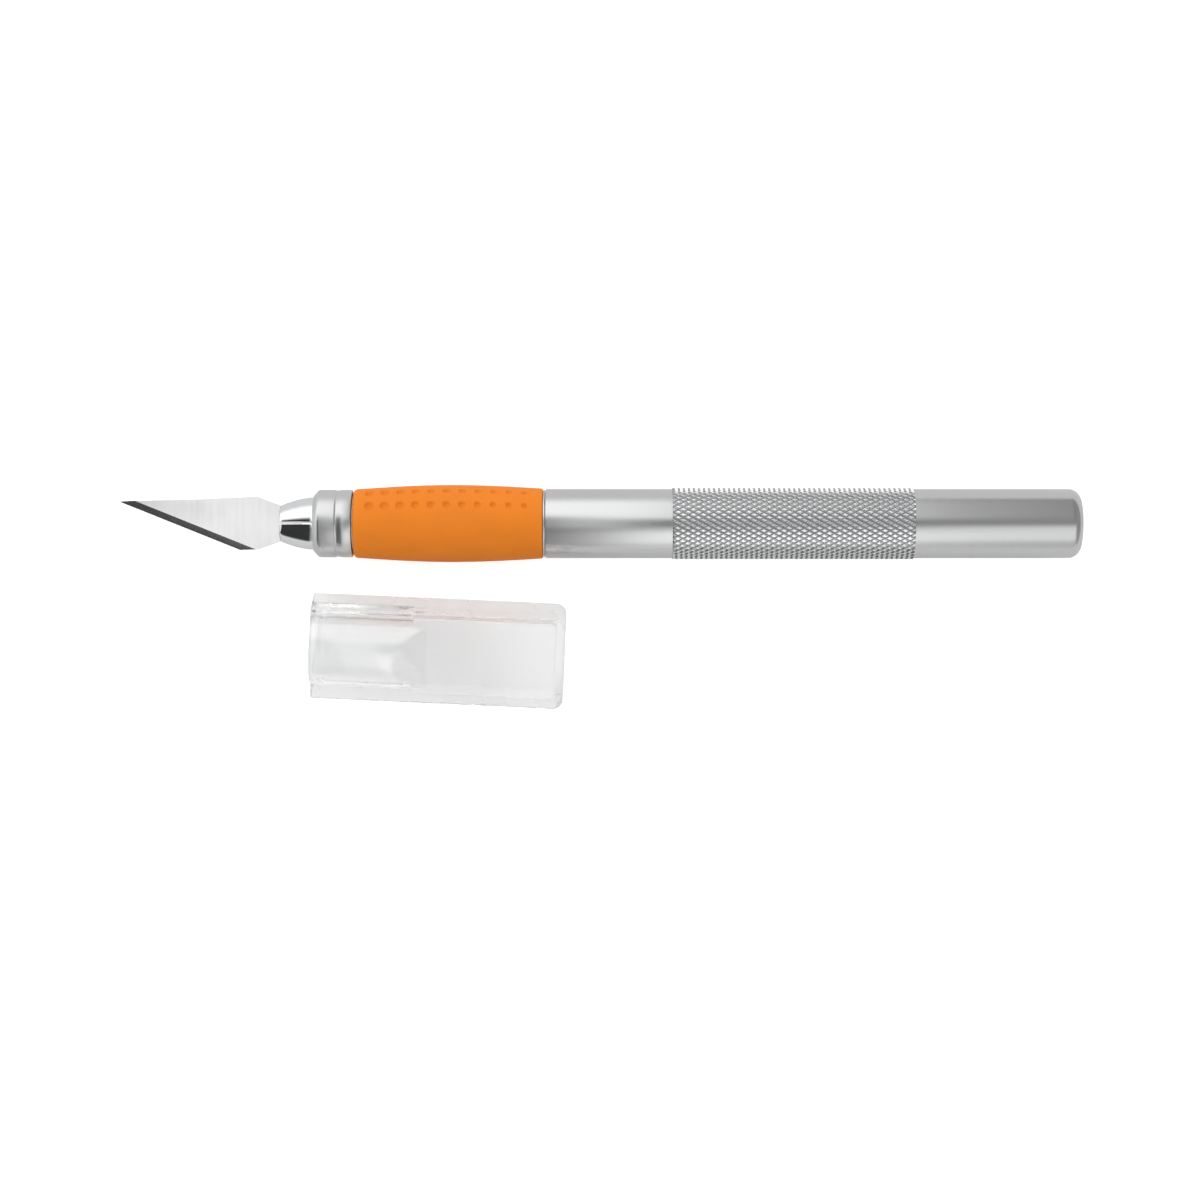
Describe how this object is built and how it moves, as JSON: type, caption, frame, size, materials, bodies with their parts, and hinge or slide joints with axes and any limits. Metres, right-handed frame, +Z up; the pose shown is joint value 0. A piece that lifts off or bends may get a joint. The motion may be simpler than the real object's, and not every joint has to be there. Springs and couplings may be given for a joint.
{
  "type": "hobby craft knife",
  "caption": "Craft knife with a pointed blade in a chromed collet, soft grip, knurled aluminium barrel and a clear push-on blade cap.",
  "frame": {"origin": "middle of the whole object's footprint, on the surface that the knife and its cap lie on", "axes": "+X along the knife from the blade's tip to the rear end, +Y from the cap towards the knife, +Z up"},
  "size_m": [0.1634, 0.0382, 0.0134],
  "materials": {
    "blade_steel": "finely ground",
    "chrome": "polished plating",
    "plain_steel": "plain turned",
    "satin_metal": "satin",
    "barrel_aluminium": "satin anodised",
    "grip_rubber": "matte moulded, orange",
    "nitrile": "black moulded",
    "brass": "turned",
    "clear_plastic": "clear moulded polystyrene"
  },
  "bodies": {
    "front_handle": {"ferrule": "satin_metal", "core_sleeve": "satin_metal", "soft_grip": "grip_rubber", "thrust_washer": "plain_steel", "o_ring": "nitrile", "snap_ring": "plain_steel"},
    "barrel_assembly": {"barrel": "barrel_aluminium", "drive_nut": "brass", "end_plug": "barrel_aluminium"},
    "draw_collet": {"collet": "chrome", "draw_rod": "plain_steel", "key_pin": "plain_steel", "stop_clip": "plain_steel"},
    "blade_body": {"blade": "blade_steel"},
    "cap_body": {"safety_cap": "clear_plastic"}
  },
  "joints": [
    {"name": "barrel_twist", "type": "hinge", "parent": "front_handle", "child": "barrel_assembly", "pos_m": [0, 0.01255, 0.00655], "axis": [1, 0, 0], "range_deg": [0, 720]},
    {"name": "collet_draw", "type": "slide", "parent": "front_handle", "child": "draw_collet", "axis": [-1, 0, 0], "range_m": [0, 0.0014]},
    {"name": "blade_pull", "type": "slide", "parent": "draw_collet", "child": "blade_body", "axis": [-1, 0, 0], "range_m": [0, 0.016]},
    {"name": "cap_lift", "type": "slide", "parent": "front_handle", "child": "cap_body", "axis": [0, 0, 1], "range_m": [0, 0.03]}
  ],
  "couplings": [
    {"joint": "collet_draw", "follows": "barrel_twist", "m_per_rad": 0.00011141}
  ]
}
